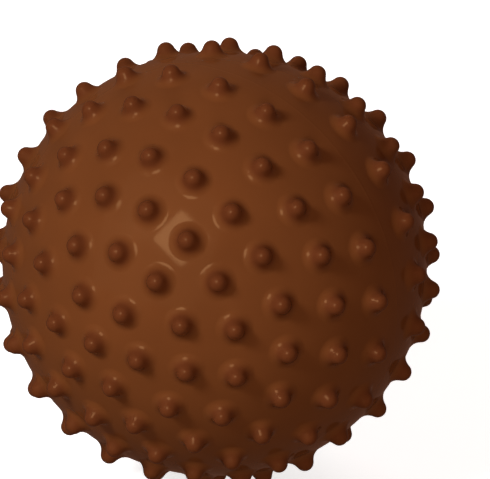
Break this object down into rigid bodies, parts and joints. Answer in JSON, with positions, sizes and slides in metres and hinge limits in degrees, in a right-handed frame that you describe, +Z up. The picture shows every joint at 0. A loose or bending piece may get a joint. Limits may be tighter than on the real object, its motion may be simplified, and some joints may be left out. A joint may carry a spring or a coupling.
{
  "type": "sensory ball",
  "caption": "Hollow soft vinyl ball covered in rows of rounded, flared nubs, with an air valve and a push-in stopper at the back.",
  "frame": {"origin": "centre of the ball's sphere", "axes": "+Z up, with the ball at rest on four nubs; +Y along the mould's axis towards the air valve, which is level; +X to the right seen from the front"},
  "size_m": [0.174, 0.1757, 0.174],
  "materials": {
    "skin_vinyl": "glossy rotocast soft PVC, chocolate brown",
    "seat_vinyl": "satin moulded soft PVC, dark brown",
    "plug_vinyl": "satin moulded soft PVC, natural cream"
  },
  "bodies": {
    "ball": {"skin": "skin_vinyl", "valve_seat": "seat_vinyl"},
    "stopper": {"plug": "plug_vinyl"}
  },
  "joints": [
    {"name": "plug_pull", "type": "slide", "parent": "ball", "child": "stopper", "axis": [0, 1, 0], "range_m": [0, 0.02]}
  ]
}
